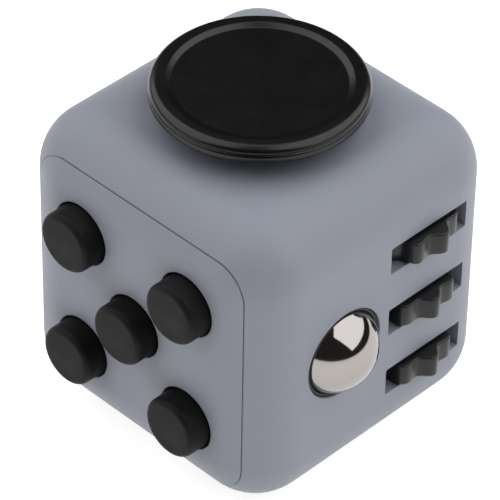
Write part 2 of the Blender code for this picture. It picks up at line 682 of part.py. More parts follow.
def make_rocker():
    """A two-position rocker on a cross pin. Its origin is on the pin, and its own +Z points outwards."""
    tilted = Matrix.Rotation(ROCKER_TILT, 4, "Y") @ Matrix.Rotation(-math.pi / 2, 4, "Y")
    turn = tilted.to_euler()
    where = (-PIVOT, 0, 0)
    middle = 2.95 * MM
    end = middle + ROCKER_HALF * math.tan(ROCKER_TILT)
    outline = [
        (-ROCKER_HALF, end), (0, middle), (ROCKER_HALF, end), (ROCKER_HALF, 2.6 * MM),
        (2.2 * MM, -0.9 * MM), (-2.2 * MM, -0.9 * MM), (-ROCKER_HALF, 2.6 * MM),
    ]
    bm = bmesh.new()
    face = bm.faces.new([bm.verts.new((x, -ROCKER_WIDE, z)) for x, z in outline])
    side = bmesh.ops.extrude_face_region(bm, geom=[face])
    moved = [v for v in side["geom"] if isinstance(v, bmesh.types.BMVert)]
    bmesh.ops.translate(bm, verts=moved, vec=(0, 2 * ROCKER_WIDE, 0))
    rocker = place("flip_rocker", mesh_of(bm, "flip_rocker"), "black_plastic", where, turn)
    stem = rod("add_rocker_stem", 1.9 * MM, -4.2 * MM, -0.3 * MM, segments=20)
    bore = rod("cut_rocker_stem", 1.2 * MM, -5 * MM, -1.3 * MM, segments=16)
    pin_hole = rod("cut_rocker_pin", PIN_R + 0.12 * MM, -4 * MM, 4 * MM, facing="front", location=where,
                   segments=16)
    for helper in (stem, bore):
        helper.location = where
        helper.rotation_euler = turn
    combine(rocker, [stem], "UNION")
    combine(rocker, [bore, pin_hole])
    rod("rocker_pin", PIN_R, -5.3 * MM, 5.3 * MM, "plain_steel", "front", where, 16)
    tip = 1.0 * MM
    plunger = [(0, -3.3 * MM), (tip, -3.3 * MM)] + arc((0, -5 * MM), tip, 0, -90, 4)[:-1] + [(0, -6 * MM)]
    made = turned("rocker_plunger", plunger, "plain_steel", "left", where, 16)
    made.rotation_euler = turn
    coil("rocker_spring", 0.8 * MM, 0.15 * MM, -3.2 * MM, -1.4 * MM, 3, "plain_steel",
         location=where, rotation=turn)


def make_rocker_bracket():
    """The plate that keeps the pin in its groove, with a ridged bridge for the plunger to snap over."""
    outer, inner = -CAVITY + GAP, -11.3 * MM
    bracket = block("rocker_bracket", (outer, -10 * MM, -5 * MM), (inner, 10 * MM, 5 * MM),
                    "inner_plastic", edge=0.8 * MM, axis=0)
    bridge_in = -BRIDGE_AT + 1 * MM
    bm = bmesh.new()
    bmesh.ops.create_cone(bm, cap_ends=True, segments=3, radius1=0.5 * MM, radius2=0.5 * MM,
                          depth=9 * MM, matrix=Matrix.Rotation(math.pi / 2, 4, "X"))
    ridge = place("add_ridge", mesh_of(bm, "add_ridge"), None, (-BRIDGE_AT + 0.2 * MM, 0, 0),
                  (0, -math.pi / 2, 0))
    added = [block("add_bridge", (-BRIDGE_AT, -5.5 * MM, -2.2 * MM), (bridge_in, 5.5 * MM, 2.2 * MM))]
    cut = [block("cut_bracket_window", (-13.5 * MM, -3.7 * MM, -3.4 * MM), (-11 * MM, 3.7 * MM, 3.4 * MM))]
    for sign in (-1, 1):
        near, away = sorted((sign * 4.4 * MM, sign * 5.4 * MM))
        added += [
            block(f"add_leg_{sign + 2}", (inner - 0.5 * MM, near, -2.19 * MM),
                  (bridge_in - 0.3 * MM, away, 2.19 * MM)),
            block(f"add_pin_tab_{sign + 2}", (-PIVOT + PIN_R + GAP, near, -0.7 * MM),
                  (inner - 0.5 * MM, away, 0.7 * MM)),
        ]
        at = (0, sign * 8.2 * MM, 0)
        cut.append(rod(f"cut_bracket_{sign + 2}", SCREW_HOLE_R, 10 * MM, 13 * MM, facing="left",
                       location=at, segments=12))
        screw(f"bracket_screw_{(3 + sign) // 2}", "left", at, 11.2 * MM, 14.8 * MM)
    combine(bracket, added + [ridge], "UNION")
    combine(bracket, cut)


make_housing()
make_click_cover()
make_click_plate()
make_buttons()
make_wheels()
make_wheel_keeper()
make_ratchet_spring()
make_ball()
make_glide_disc()
make_glide_slides()
make_dial()
make_rocker()
make_rocker_bracket()
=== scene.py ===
"""Looks of the fidget cube: rounded meshes over the CAD frame, procedural finishes, floor, lights and camera.

Lengths are written in millimetres times MM and measured from the cube's centre, which sits half a side
above the floor. Each built piece rides on its CAD body and stands for the CAD node in its call.
"""

import json
import math

import bmesh
import bpy
from mathutils import Matrix, Vector

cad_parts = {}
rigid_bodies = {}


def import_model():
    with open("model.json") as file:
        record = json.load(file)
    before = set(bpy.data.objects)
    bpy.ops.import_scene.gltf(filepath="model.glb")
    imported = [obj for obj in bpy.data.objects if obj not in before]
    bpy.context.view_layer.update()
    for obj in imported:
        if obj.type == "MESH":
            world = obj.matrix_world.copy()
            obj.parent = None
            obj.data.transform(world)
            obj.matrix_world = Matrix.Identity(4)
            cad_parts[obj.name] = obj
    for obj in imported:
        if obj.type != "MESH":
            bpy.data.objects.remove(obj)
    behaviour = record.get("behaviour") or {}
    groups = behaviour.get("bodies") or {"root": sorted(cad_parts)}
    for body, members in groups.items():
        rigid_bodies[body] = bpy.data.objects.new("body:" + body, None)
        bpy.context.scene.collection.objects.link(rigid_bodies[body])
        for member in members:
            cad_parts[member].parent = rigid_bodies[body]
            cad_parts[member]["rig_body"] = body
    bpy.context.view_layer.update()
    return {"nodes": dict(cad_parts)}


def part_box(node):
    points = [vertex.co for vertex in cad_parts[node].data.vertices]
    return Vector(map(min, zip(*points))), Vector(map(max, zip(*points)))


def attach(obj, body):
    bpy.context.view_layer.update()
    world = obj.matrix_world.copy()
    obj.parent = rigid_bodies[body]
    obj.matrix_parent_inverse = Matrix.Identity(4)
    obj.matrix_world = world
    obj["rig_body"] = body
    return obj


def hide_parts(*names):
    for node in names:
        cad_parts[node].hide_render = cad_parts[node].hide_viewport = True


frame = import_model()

MM = 0.001
HOUSING_LOW, HOUSING_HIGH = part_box("housing")
FACE = (HOUSING_HIGH.z - HOUSING_LOW.z) / 2
CENTRE = Vector((0, 0, HOUSING_LOW.z + FACE))
FAR = FACE + 2 * MM
SHARP_FROM = math.radians(32)

# Casing
CORNER_R = 6.3 * MM
CORNER_STEPS = 18
CAVITY = 12.6 * MM
BACK_WALL = 13.0 * MM
LID_SEAM = 15.48 * MM
GAP = 0.1 * MM
WALL_IN = CAVITY - 0.6 * MM
MOUTH_LIP = 0.12 * MM
# Lid's snap hooks and their slots in the casing: middle x, half x, low y, high y, half z
SNAP_HOOK = (12.3 * MM, 0.35 * MM, -13.8 * MM, -13.1 * MM, 3.0 * MM)
SNAP_SLOT = (12.85 * MM, 0.25 * MM, -14.1 * MM, -12.9 * MM, 3.3 * MM)
DISH_R = 8.5 * MM
DISH_DEPTH = 1.6 * MM

# Push buttons
BUTTON_PITCH = 7.08 * MM
BUTTON_R = 3.14 * MM
BUTTON_HOLE_R = 3.34 * MM
BUTTON_OUT = 2.34 * MM
BUTTON_EDGE = 0.62 * MM
BUTTON_FLANGE_R = 3.9 * MM
LID_SCREW_AT = 9.8 * MM
CLICK_PLATE_TOP = 12.7 * MM
BUTTONS = {
    "centre": (0, 0),
    "top_left": (-1, 1),
    "top_right": (1, 1),
    "bottom_left": (-1, -1),
    "bottom_right": (1, -1),
}

# Toothed wheels
WHEEL_X = 13.27 * MM
WHEEL_Y = 6.26 * MM
WHEEL_PITCH = 7.56 * MM
WHEEL_MEAN_R = 4.55 * MM
WHEEL_WAVE = 0.4 * MM
WHEEL_HALF = 1.225 * MM
WHEEL_HUB_R = 1.15 * MM
WHEEL_TEETH = 9
SLOT_LENGTH = 10.3 * MM
SLOT_HEIGHT = 3.05 * MM
AXLE_HALF = 11.0 * MM

# Rolling ball
BALL_X = 14.6 * MM
BALL_Y = -4.95 * MM
BALL_R = 4.7 * MM
BALL_HOLE_R = 4.8 * MM
BALL_HOLE_X = 16.1 * MM
SLEEVE_R = 5.3 * MM
SLEEVE_BORE_R = 4.84 * MM

# Sliding disc
DISC_FLANGE_R = 10.52 * MM
DISC_FLANGE_Z = FACE + 3.25 * MM
PAD_R = 10.48 * MM
PAD_RIM_R = 8.3 * MM
PAD_TOP = FACE + 4.0 * MM
STEM_R = 3.6 * MM
STEM_END = 14.0 * MM
SPIGOT_R = 2.0 * MM
SPIGOT_END = 14.2 * MM
GLIDE_SCREW_END = 18.0 * MM
TOP_HOLE_R = 7.0 * MM
POCKET_R = 11.7 * MM
POCKET_Z = 14.2 * MM
POST_X = 10.7 * MM
POST_Y = 9.2 * MM

# Dial
DIAL_R = 9.4 * MM
DIAL_OUT = 2.3 * MM
DIAL_SHAFT_R = 2.5 * MM

# Rocker
PIVOT = 13.8 * MM
ROCKER_HALF = 5.4 * MM
ROCKER_WIDE = 3.3 * MM
ROCKER_TILT = math.radians(12)
ROCKER_STEM_R = 1.9 * MM
ROCKER_BORE_R = 1.2 * MM
WINDOW_HALF_Z = 6.4 * MM
WINDOW_HALF_Y = 3.6 * MM
PIN_R = 0.8 * MM
PIN_HALF = 5.5 * MM
PIN_GROOVE_HALF = 0.95 * MM

# Screws and their blind holes in the casing
SCREW_HOLE_R = 0.95 * MM
PILOT_END = 15.0 * MM
KEEPER_SCREW_Y = 10.2 * MM
HOLDER_SCREW_Z = 7.2 * MM
BRACKET_SCREW_Y = 8.2 * MM

# Which way a turned piece's own +Z points
FACING = {
    "front": Matrix.Rotation(math.pi / 2, 4, "X"),
    "back": Matrix.Rotation(-math.pi / 2, 4, "X"),
    "right": Matrix.Rotation(math.pi / 2, 4, "Y"),
    "left": Matrix.Rotation(-math.pi / 2, 4, "Y"),
    "top": Matrix.Identity(4),
    "bottom": Matrix.Rotation(math.pi, 4, "X"),
}


# ---------------------------------------------------------------- building helpers

def place(name, bm, where=(0, 0, 0), turn=Matrix.Identity(4)):
    """A new object from a bmesh, at a place measured from the cube's centre."""
    bmesh.ops.recalc_face_normals(bm, faces=bm.faces)
    mesh = bpy.data.meshes.new(name)
    bm.to_mesh(mesh)
    bm.free()
    made = bpy.data.objects.new(name, mesh)
    made.matrix_world = Matrix.Translation(CENTRE + Vector(where)) @ turn
    bpy.context.scene.collection.objects.link(made)
    return made


def rounded(corners, steps=6):
    """A profile from corners (r, z, radius): each corner with a radius becomes an arc."""
    points = []
    for i, (r, z, radius) in enumerate(corners):
        here = Vector((r, z))
        if not radius:
            points.append(here)
            continue
        before = (Vector(corners[i - 1][:2]) - here).normalized()
        after = (Vector(corners[(i + 1) % len(corners)][:2]) - here).normalized()
        half = before.angle(after) / 2
        middle = here + (before + after).normalized() * radius / math.sin(half)
        start = here + before * radius / math.tan(half) - middle
        sweep = start.angle_signed(here + after * radius / math.tan(half) - middle)
        for k in range(steps + 1):
            angle = -sweep * k / steps
            points.append(middle + Matrix.Rotation(angle, 2) @ start)
    return [(p[0], p[1]) for p in points]


def lathe(name, profile, facing="top", where=(0, 0, 0), segments=96, turn=None):
    """A turned solid from (r, z) points that run down its outer side."""
    bm = bmesh.new()
    rings = []
    for r, z in profile:
        if r < 1e-9:
            rings.append([bm.verts.new((0, 0, z))])
            continue
        angles = [2 * math.pi * i / segments for i in range(segments)]
        rings.append([bm.verts.new((r * math.cos(a), r * math.sin(a), z)) for a in angles])
    pairs = list(zip(rings, rings[1:]))
    if len(rings[0]) > 1 or len(rings[-1]) > 1:
        pairs.append((rings[-1], rings[0]))
    for upper, lower in pairs:
        for i in range(segments):
            j = (i + 1) % segments
            corners = [upper[i % len(upper)], lower[i % len(lower)],
                       lower[j % len(lower)], upper[j % len(upper)]]
            unique = list(dict.fromkeys(corners))
            if len(unique) > 2:
                bm.faces.new(unique)
    return place(name, bm, where, FACING[facing] if turn is None else turn)


def rod(name, radius, low, high, facing="top", where=(0, 0, 0), segments=48, turn=None):
    """A plain cylinder along its own Z, between two heights."""
    return lathe(name, [(0, high), (radius, high), (radius, low), (0, low)], facing, where, segments, turn)


def block(name, low, high, edge=0.0, axis=None, steps=6):
    """A box between two corners. Its edges, or only those along one axis, can be rounded."""
    bm = bmesh.new()
    size = [b - a for a, b in zip(low, high)]
    middle = [(a + b) / 2 for a, b in zip(low, high)]
    bmesh.ops.create_cube(bm, size=1, matrix=Matrix.Translation(middle) @ Matrix.Diagonal((*size, 1)))
    if edge:
        edges = list(bm.edges)
        if axis is not None:
            edges = [e for e in edges if abs((e.verts[0].co - e.verts[1].co)[axis]) > size[axis] / 2]
        bmesh.ops.bevel(bm, geom=edges, offset=edge, segments=steps, profile=0.5, affect="EDGES")
    return place(name, bm)


def stack(name, layers, where=(0, 0, 0), turn=Matrix.Identity(4)):
    """A solid from outlines of equal length, one over another, each given as (points, z)."""
    bm = bmesh.new()
    rings = [[bm.verts.new((x, y, z)) for x, y in points] for points, z in layers]
    count = len(rings[0])
    for upper, lower in zip(rings, rings[1:]):
        for i in range(count):
            j = (i + 1) % count
            bm.faces.new((upper[i], lower[i], lower[j], upper[j]))
    bm.faces.new(rings[0])
    bm.faces.new(reversed(rings[-1]))
    return place(name, bm, where, turn)


def rounded_rectangle(half_x, half_y, radius, steps=5):
    """Points round a rectangle with rounded corners."""
    points = []
    for quarter, (sx, sy) in enumerate(((1, 1), (-1, 1), (-1, -1), (1, -1))):
        for k in range(steps + 1):
            angle = math.radians(90 * (quarter + k / steps))
            points.append((sx * (half_x - radius) + radius * math.cos(angle),
                           sy * (half_y - radius) + radius * math.sin(angle)))
    return points


def flare(depth, lip, steps=4):
    """(widening, height) pairs of a rounded mouth: straight up to the lip, then out past the face."""
    pairs = [(0, depth)]
    for k in range(steps + 1):
        angle = math.radians(70 * k / steps)
        pairs.append((lip * (1 - math.cos(angle)), FACE - lip + lip * math.sin(angle)))
    last, before = Vector(pairs[-1]), Vector(pairs[-2])
    beyond = last + (last - before) * (0.3 * MM / (last - before).length)
    pairs.append(tuple(beyond))
    return pairs


def mouth_rod(name, radius, start, facing, where=(0, 0, 0), lip=MOUTH_LIP, segments=96):
    """Cutter for a round opening whose edge at the face is rounded over."""
    side = [(radius + wide, height) for wide, height in flare(start, lip)]
    top = [(0, side[-1][1])]
    return lathe(name, top + side[::-1] + [(0, start)], facing, where, segments)


def mouth_slot(name, half_x, half_y, radius, start, where, turn):
    """Cutter for a rectangular opening whose edge at the face is rounded over."""
    layers = []
    for wide, height in reversed(flare(start, MOUTH_LIP)):
        layers.append((rounded_rectangle(half_x + wide, half_y + wide, radius + wide), height))
    return stack(name, layers, where, turn)


def combine(target, others, operation="DIFFERENCE"):
    """Cuts helper solids from a piece, or joins them to it, and removes the helpers."""
    for other in others:
        step = target.modifiers.new(other.name, "BOOLEAN")
        step.operation = operation
        step.solver = "EXACT"
        step.object = other
    graph = bpy.context.evaluated_depsgraph_get()
    mesh = bpy.data.meshes.new_from_object(target.evaluated_get(graph))
    target.modifiers.clear()
    target.data = mesh
    for other in others:
        bpy.data.objects.remove(other)
    return target


def smooth(piece):
    """Smooth shading between sharp edges, with flats kept flat."""
    piece.data.shade_smooth()
    piece.data.set_sharp_from_angle(angle=SHARP_FROM)
    weighted = piece.modifiers.new("flat_faces", "WEIGHTED_NORMAL")
    weighted.keep_sharp = True
    weighted.mode = "FACE_AREA"
    return piece


# ---------------------------------------------------------------- finishes

def node(tree, kind, **values):
    """A shader node with its inputs and properties set by name."""
    made = tree.nodes.new(kind)
    for key, value in values.items():
        if hasattr(made, key):
            setattr(made, key, value)
        else:
            made.inputs[key.replace("_", " ")].default_value = value
    return made


def finish(name, colour, roughness, metallic=0.0, specular=0.5, grain=0.15, bump=0.006, mottle=0.05,
           smudge=0.06):
    """A procedural finish: mottled colour, uneven gloss and a fine moulded or ground grain.

    Grain is the size of the surface texture and bump its depth, both in millimetres.
    """
    made = bpy.data.materials.new(name)
    made.use_nodes = True
    made.diffuse_color = (*colour, 1)
    tree = made.node_tree
    shader = tree.nodes["Principled BSDF"]
    shader.inputs["Metallic"].default_value = metallic
    shader.inputs["Specular IOR Level"].default_value = specular
    place_in = node(tree, "ShaderNodeTexCoord")
    clouds = node(tree, "ShaderNodeTexNoise", Scale=0.35 / MM, Detail=3.0, Roughness=0.55)
    fine = node(tree, "ShaderNodeTexNoise", Scale=1 / (grain * MM), Detail=2.0, Roughness=0.5)
    tree.links.new(place_in.outputs["Object"], clouds.inputs["Vector"])
    tree.links.new(place_in.outputs["Object"], fine.inputs["Vector"])
    tint = node(tree, "ShaderNodeMapRange", From_Min=0.3, From_Max=0.7, To_Min=1 - mottle, To_Max=1 + mottle)
    tree.links.new(clouds.outputs["Fac"], tint.inputs["Value"])
    paint = node(tree, "ShaderNodeMix", data_type="RGBA", blend_type="MULTIPLY")
    paint.inputs["Factor"].default_value = 1.0
    paint.inputs["A"].default_value = (*colour, 1)
    tree.links.new(tint.outputs["Result"], paint.inputs["B"])
    tree.links.new(paint.outputs["Result"], shader.inputs["Base Color"])
    gloss = node(tree, "ShaderNodeMapRange", From_Min=0.3, From_Max=0.7,
                 To_Min=roughness - smudge, To_Max=roughness + smudge)
    tree.links.new(clouds.outputs["Fac"], gloss.inputs["Value"])
    tree.links.new(gloss.outputs["Result"], shader.inputs["Roughness"])
    raised = node(tree, "ShaderNodeBump", Strength=1.0, Distance=bump * MM)
    tree.links.new(fine.outputs["Fac"], raised.inputs["Height"])
    tree.links.new(raised.outputs["Normal"], shader.inputs["Normal"])
    return made


FINISHES = {
    "casing_grey": finish("casing_grey", (0.231, 0.246, 0.294), 0.55, specular=0.35, grain=0.12, bump=0.004,
                          mottle=0.02),
    "black_plastic": finish("black_plastic", (0.0018, 0.0018, 0.0022), 0.6, specular=0.18, grain=0.1,
                            bump=0.004, mottle=0.1),
    "black_soft_plastic": finish("black_soft_plastic", (0.0022, 0.0022, 0.0030), 0.27, specular=0.4,
                                 grain=0.1, bump=0.002, mottle=0.1, smudge=0.015),
    "wheel_plastic": finish("wheel_plastic", (0.004, 0.0042, 0.005), 0.34, specular=0.38, grain=0.1,
                            bump=0.003, mottle=0.1),
    "polished_steel": finish("polished_steel", (0.335, 0.316, 0.308), 0.09, metallic=1.0, grain=0.4,
                             bump=0.0002, mottle=0.02, smudge=0.02),
    "plain_steel": finish("plain_steel", (0.50, 0.50, 0.50), 0.3, metallic=1.0, grain=0.05, bump=0.001),
    "inner_plastic": finish("inner_plastic", (0.012, 0.012, 0.013), 0.5, specular=0.3, grain=0.1, bump=0.003),
    "silicone": finish("silicone", (0.55, 0.50, 0.42), 0.6, grain=0.1, bump=0.002),
}


def dress(piece, cad_node, slot):
    """Gives a built piece its finish, hides the CAD node it stands for and attaches the piece to that node's
    body.
    """
    piece.data.materials.clear()
    piece.data.materials.append(FINISHES[slot])
    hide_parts(cad_node)
    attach(piece, frame["nodes"][cad_node]["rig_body"])


# ---------------------------------------------------------------- casing

def rounded_cube(name):
    """The cube's whole outer form."""
    return block(name, (-FACE, -FACE, -FACE), (FACE, FACE, FACE), edge=CORNER_R, steps=CORNER_STEPS)


def shade_shell(piece):
    """Exact normals on the rounded cube's outer skin, angle-based ones everywhere else."""
    mesh = piece.data
    mesh.shade_smooth()
    mesh.set_sharp_from_angle(angle=SHARP_FROM)
    core = FACE - CORNER_R
    normals = [Vector(n.vector) for n in mesh.corner_normals]
    for face in mesh.polygons:
        for corner in face.loop_indices:
            at = mesh.vertices[mesh.loops[corner].vertex_index].co
            out = at - Vector([min(max(c, -core), core) for c in at])
            on_skin = abs(out.length - CORNER_R) < 0.03 * MM
            if on_skin and out.normalized().dot(face.normal) > math.cos(math.radians(12)):
                normals[corner] = out.normalized()
    mesh.normals_split_custom_set(normals)
    return piece


def dish_cutter():
    """Cutter for the shallow thumb dish, a cap of a large sphere with a soft edge."""
    radius = (DISH_R ** 2 + DISH_DEPTH ** 2) / (2 * DISH_DEPTH)
    centre = FACE - DISH_DEPTH + radius
    steps = 28
    reach = math.asin(DISH_R / radius)
    cap = [(radius * math.sin(reach * k / steps), centre - radius * math.cos(reach * k / steps))
           for k in range(steps + 1)]
    soft = 0.25 * MM
    above = FACE + 0.4 * MM
    side = [(DISH_R + soft * 1.6, above), (DISH_R + soft * 0.5, FACE + 0.02 * MM)]
    return lathe("cut_dish", [(0, above)] + side + cap[::-1][1:], "bottom", segments=128)


def snap_block(name, sign, x, half_x, low_y, high_y, half_z):
    """A snap hook, or the cutter for its slot, on the side that sign picks."""
    return block(name, (sign * x - half_x, low_y, -half_z), (sign * x + half_x, high_y, half_z))


def build_housing():
    """The one-piece casing, open at the front, with an opening for each toy."""
    housing = rounded_cube("casing_shell")
    cutters = [
        block("cut_front", (-FAR, -FAR, -FAR), (FAR, -LID_SEAM + GAP / 2, FAR)),
        block("cut_cavity", (-CAVITY, -FAR, -CAVITY), (CAVITY, BACK_WALL, CAVITY), edge=2.5 * MM, axis=1),
        rod("cut_glide_pocket", POCKET_R, WALL_IN, POCKET_Z, segments=96),
        mouth_rod("cut_glide_hole", TOP_HOLE_R, WALL_IN, "top"),
        dish_cutter(),
        mouth_rod("cut_ball_hole", BALL_HOLE_R, BALL_HOLE_X, "right", (0, BALL_Y, 0), 0.06 * MM, 144),
        rod("cut_ball_bore", SLEEVE_R + GAP, WALL_IN, BALL_HOLE_X, "right", (0, BALL_Y, 0), 96),
        mouth_rod("cut_dial_recess", DIAL_R + 0.3 * MM, FACE - 0.5 * MM, "back", segments=128),
        rod("cut_dial_bore", DIAL_SHAFT_R + 0.15 * MM, BACK_WALL - 1 * MM, FAR, "back"),
        mouth_slot("cut_rocker_window", WINDOW_HALF_Z, WINDOW_HALF_Y, 0.8 * MM, WALL_IN, (0, 0, 0),
                   FACING["left"]),
        block("cut_pin_groove", (-PIVOT - PIN_GROOVE_HALF, -PIN_HALF, -PIN_GROOVE_HALF),
              (-WALL_IN, PIN_HALF, PIN_GROOVE_HALF)),
        block("cut_axle_groove", (WALL_IN, WHEEL_Y - 1.1 * MM, -AXLE_HALF - 0.2 * MM),
              (WHEEL_X + 1.1 * MM, WHEEL_Y + 1.1 * MM, AXLE_HALF + 0.2 * MM)),
    ]
    for i in (-1, 0, 1):
        cutters.append(mouth_slot(f"cut_slot_{i + 2}", SLOT_HEIGHT / 2, SLOT_LENGTH / 2, 0.15 * MM, WALL_IN,
                                  (0, WHEEL_Y, i * WHEEL_PITCH), FACING["right"]))
        for sign in (-1, 1) if i else ():
            cutters.append(rod(f"cut_post_seat_{i + 2}_{sign + 2}", 1.6 * MM, 9 * MM, CAVITY,
                               where=(i * POST_X, sign * POST_Y, 0)))
    for sign in (-1, 1):
        cutters += [
            snap_block(f"cut_snap_{sign + 2}", sign, *SNAP_SLOT),
            rod(f"cut_post_hole_{sign + 2}", SCREW_HOLE_R, WALL_IN, PILOT_END,
                where=(sign * POST_X, -sign * POST_Y, 0), segments=24),
            rod(f"cut_keeper_hole_{sign + 2}", SCREW_HOLE_R, WALL_IN, PILOT_END, "right",
                (0, KEEPER_SCREW_Y, sign * WHEEL_PITCH / 2), 24),
            rod(f"cut_holder_hole_{sign + 2}", SCREW_HOLE_R, WALL_IN, PILOT_END, "right",
                (0, BALL_Y, sign * HOLDER_SCREW_Z), 24),
            rod(f"cut_bracket_hole_{sign + 2}", SCREW_HOLE_R, WALL_IN, PILOT_END, "left",
                (0, sign * BRACKET_SCREW_Y, 0), 24),
        ]
    dress(shade_shell(combine(housing, cutters)), "housing", "casing_grey")


def build_lid():
    """The front lid: the cube's front slice, a skirt that plugs the casing, bosses and snap hooks."""
    back = LID_SEAM + GAP / 2
    skirt_half = CAVITY - 0.3 * MM
    skirt_inner = skirt_half - 1.2 * MM
    lid = combine(rounded_cube("front_lid"), [block("cut_behind_lid", (-FAR, -back, -FAR), (FAR, FAR, FAR))])
    skirt = block("add_skirt", (-skirt_half, -back - 0.3 * MM, -skirt_half),
                  (skirt_half, -12.9 * MM, skirt_half), edge=2.2 * MM, axis=1)
    combine(lid, [skirt], "UNION")
    inner = block("cut_skirt", (-skirt_inner, -back, -skirt_inner), (skirt_inner, -10 * MM, skirt_inner),
                  edge=1.2 * MM, axis=1)
    combine(lid, [inner])
    added, cut = [], []
    for i, (x, z) in enumerate(((1, 0), (0, 1), (-1, 0), (0, -1))):
        where = (x * LID_SCREW_AT, 0, z * LID_SCREW_AT)
        added.append(rod(f"add_boss_{i}", 1.7 * MM, CLICK_PLATE_TOP + GAP, back + 0.3 * MM, "front", where))
        cut.append(rod(f"cut_boss_{i}", SCREW_HOLE_R, 12 * MM, back, "front", where, 24))
    for sign in (-1, 1):
        added.append(snap_block(f"add_snap_{sign + 2}", sign, *SNAP_HOOK))
    for name, (x, z) in BUTTONS.items():
        cut.append(mouth_rod(f"cut_{name}", BUTTON_HOLE_R, 15 * MM, "front",
                             (x * BUTTON_PITCH, 0, z * BUTTON_PITCH)))
    combine(lid, added, "UNION")
    dress(shade_shell(combine(lid, cut)), "click_cover", "casing_grey")


# ---------------------------------------------------------------- toys

def build_buttons():
    """Five buttons with a softly rounded front edge."""
    front = FACE + BUTTON_OUT
    corners = [
        (0, front, 0),
        (BUTTON_R, front, BUTTON_EDGE),
        (BUTTON_R, 15.3 * MM, 0),
        (BUTTON_FLANGE_R, 15.3 * MM, 0.1 * MM),
        (BUTTON_FLANGE_R, 14.6 * MM, 0.1 * MM),
        (1.5 * MM, 14.6 * MM, 0),
        (1.5 * MM, 13.65 * MM, 0.15 * MM),
        (0, 13.65 * MM, 0),
    ]
    profile = rounded(corners, 8)
    for name, (x, z) in BUTTONS.items():
        button = lathe(f"push_{name}", profile, "front", (x * BUTTON_PITCH, 0, z * BUTTON_PITCH))
        dress(smooth(button), f"button_{name}", "black_plastic")


def wheel_ring(inset):
    """Points round a wheel's wavy rim, drawn in by an inset."""
    count = WHEEL_TEETH * 24
    points = []
    for i in range(count):
        angle = 2 * math.pi * i / count
        r = WHEEL_MEAN_R + WHEEL_WAVE * math.cos(WHEEL_TEETH * angle)
        slope = -WHEEL_WAVE * WHEEL_TEETH * math.sin(WHEEL_TEETH * angle)
        outward = Vector((r * math.cos(angle) + slope * math.sin(angle),
                          r * math.sin(angle) - slope * math.cos(angle))).normalized()
        points.append((r * math.cos(angle) - inset * outward.x, r * math.sin(angle) - inset * outward.y))
    return points


def build_wheels():
    """Three toothed wheels with rounded edges and a bored hub."""
    soft = 0.22 * MM
    steps = 5
    layers = []
    for k in range(steps + 1):
        angle = math.radians(90 * k / steps)
        layers.append((wheel_ring(soft * (1 - math.sin(angle))), WHEEL_HALF - soft * (1 - math.cos(angle))))
    layers += [(points, -height) for points, height in reversed(layers)]
    for name, level, turn in (("top", 1, 7.7), ("middle", 0, -3.3), ("bottom", -1, 0)):
        where = (WHEEL_X, WHEEL_Y, level * WHEEL_PITCH)
        wheel = stack(f"thumbwheel_{name}", layers, where, Matrix.Rotation(math.radians(turn), 4, "Z"))
        bore = rod("cut_hub", WHEEL_HUB_R, -2 * WHEEL_HALF, 2 * WHEEL_HALF, where=where)
        dress(smooth(combine(wheel, [bore])), f"wheel_{name}", "wheel_plastic")


def build_ball():
    """The polished ball."""
    bm = bmesh.new()
    bmesh.ops.create_uvsphere(bm, u_segments=128, v_segments=64, radius=BALL_R)
    ball = place("steel_ball", bm, (BALL_X, BALL_Y, 0))
    ball.data.shade_smooth()
    dress(ball, "roller_ball", "polished_steel")


def build_ball_holder():
    """The dark sleeve whose lip keeps the ball in, with its two screwed ears."""
    front = CAVITY - GAP
    back = 5.6 * MM
    floor = 6.6 * MM
    shoulder = BALL_HOLE_X - GAP
    tip = shoulder + 0.3 * MM
    where = (0, BALL_Y, 0)
    lip_r = BALL_HOLE_R - GAP / 2
    outside = [
        (0, tip, 0), (lip_r, tip, 0.04 * MM), (lip_r, shoulder, 0),
        (SLEEVE_R, shoulder, 0.04 * MM), (SLEEVE_R, back, 0.1 * MM), (0, back, 0),
    ]
    bore = [
        (0, FACE), (4.39 * MM, FACE), (4.56 * MM, shoulder), (SLEEVE_BORE_R, 15.0 * MM),
        (SLEEVE_BORE_R, floor), (1.45 * MM, floor), (1.45 * MM, 5 * MM), (0, 5 * MM),
    ]
    holder = lathe("ball_sleeve", rounded(outside, 4), "right", where, 128)
    ears = block("add_ears", (11.3 * MM, BALL_Y - 2 * MM, -8.9 * MM),
                 (front - 0.05 * MM, BALL_Y + 2 * MM, 8.9 * MM), edge=1.0 * MM, axis=0)
    cut = [lathe("cut_holder_sleeve", bore, "right", where, 128)]
    for sign in (-1, 1):
        cut.append(rod(f"cut_ear_{sign + 2}", SCREW_HOLE_R, 11 * MM, 13 * MM, "right",
                       (0, BALL_Y, sign * HOLDER_SCREW_Z), 24))
    combine(holder, [ears], "UNION")
    dress(smooth(combine(holder, cut)), "ball_holder", "inner_plastic")


